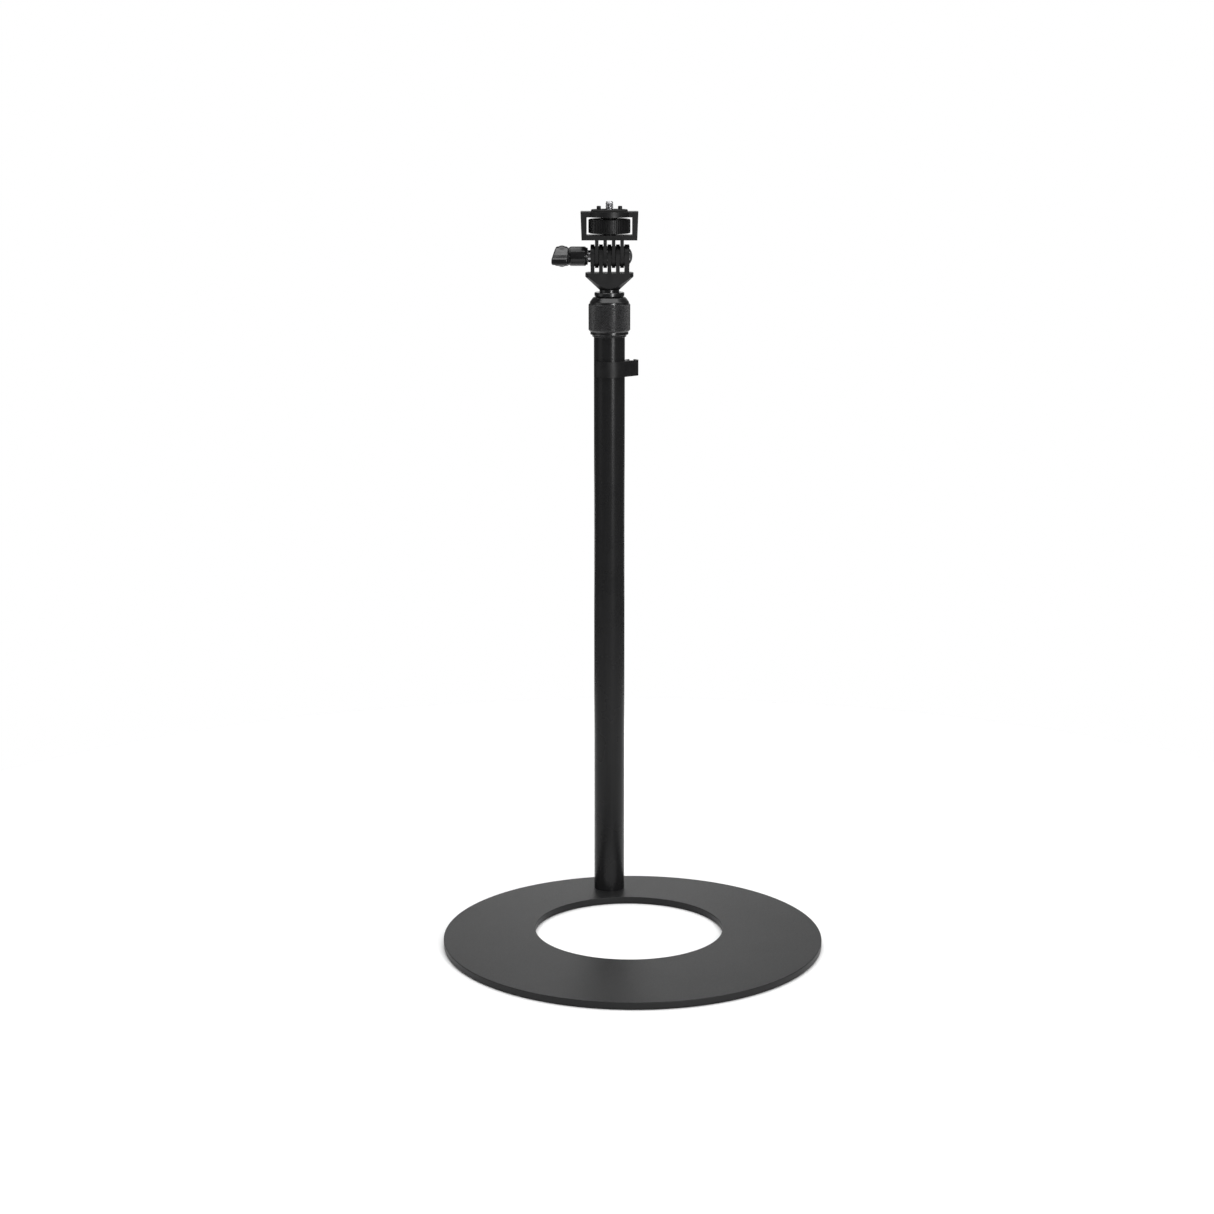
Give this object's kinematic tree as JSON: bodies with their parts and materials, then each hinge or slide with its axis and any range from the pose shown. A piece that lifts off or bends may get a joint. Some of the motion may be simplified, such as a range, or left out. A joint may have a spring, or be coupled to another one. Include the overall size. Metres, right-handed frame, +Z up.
{
  "type": "tabletop camera stand",
  "caption": "Weighted ring-foot table stand with a telescopic post, knurled clamp collar, cable clip and a finger-joint tilt head carrying a captive camera screw.",
  "frame": {"origin": "centre of the foot ring's outer circle, on the table", "axes": "+Z up along the post; the tilt axis runs along X, with the clamp knob on the -X side; -Y is the front"},
  "size_m": [0.3, 0.3, 0.5775],
  "materials": {
    "powder_coat": "fine-grained black powder coat on steel",
    "tube_coat": "smooth satin black",
    "anodised_collar": "black anodised, knurled grip",
    "moulded_plastic": "fine moulded grain",
    "gloss_knob": "polished moulding",
    "rubber": "matt",
    "bright_steel": "bright plated steel",
    "zinc_steel": "zinc plated",
    "bare_aluminium": "turned",
    "white_nylon": "natural nylon",
    "brass": "turned"
  },
  "bodies": {
    "stand": {"base_plate": "powder_coat", "base_pad": "rubber", "post_screw": "zinc_steel", "foot_plug": "zinc_steel", "post_tube": "tube_coat", "tube_bush": "bare_aluminium", "clamp_collet": "white_nylon"},
    "collar": {"lock_collar": "anodised_collar"},
    "clip": {"cable_clip": "moulded_plastic"},
    "guide": {"rod_guide": "moulded_plastic"},
    "rod": {"extension_rod": "tube_coat", "guide_ring": "zinc_steel", "rod_end_cap": "moulded_plastic", "neck_adapter": "anodised_collar", "head_base": "moulded_plastic", "hinge_bolt": "bright_steel", "hinge_washer": "bright_steel"},
    "knob": {"thumb_knob": "gloss_knob", "knob_insert": "brass"},
    "bracket": {"camera_bracket": "moulded_plastic", "platform_pad": "rubber", "anti_twist_pins": "moulded_plastic"},
    "screw": {"thumb_wheel": "moulded_plastic", "camera_screw": "bright_steel"}
  },
  "joints": [
    {"name": "collar_turn", "type": "hinge", "parent": "stand", "child": "collar", "pos_m": [-0.01838, 0.1201, 0.486], "axis": [0, 0, 1], "range_deg": [0, 270]},
    {"name": "clip_slide", "type": "slide", "parent": "stand", "child": "clip", "axis": [0, 0, 1], "range_m": [-0.425, 0.018]},
    {"name": "rod_slide", "type": "slide", "parent": "stand", "child": "guide", "axis": [0, 0, 1], "range_m": [0, 0.34]},
    {"name": "pan", "type": "hinge", "parent": "guide", "child": "rod", "pos_m": [-0.01838, 0.1201, 0.07], "axis": [0, 0, 1], "continuous": true},
    {"name": "knob_turn", "type": "hinge", "parent": "rod", "child": "knob", "pos_m": [-0.04338, 0.1201, 0.534], "axis": [-1, 0, 0], "range_deg": [0, 360]},
    {"name": "tilt", "type": "hinge", "parent": "rod", "child": "bracket", "pos_m": [-0.01838, 0.1201, 0.534], "axis": [1, 0, 0], "range_deg": [-90, 90]},
    {"name": "screw_turn", "type": "hinge", "parent": "bracket", "child": "screw", "pos_m": [-0.01838, 0.1201, 0.557], "axis": [0, 0, 1], "continuous": true}
  ]
}
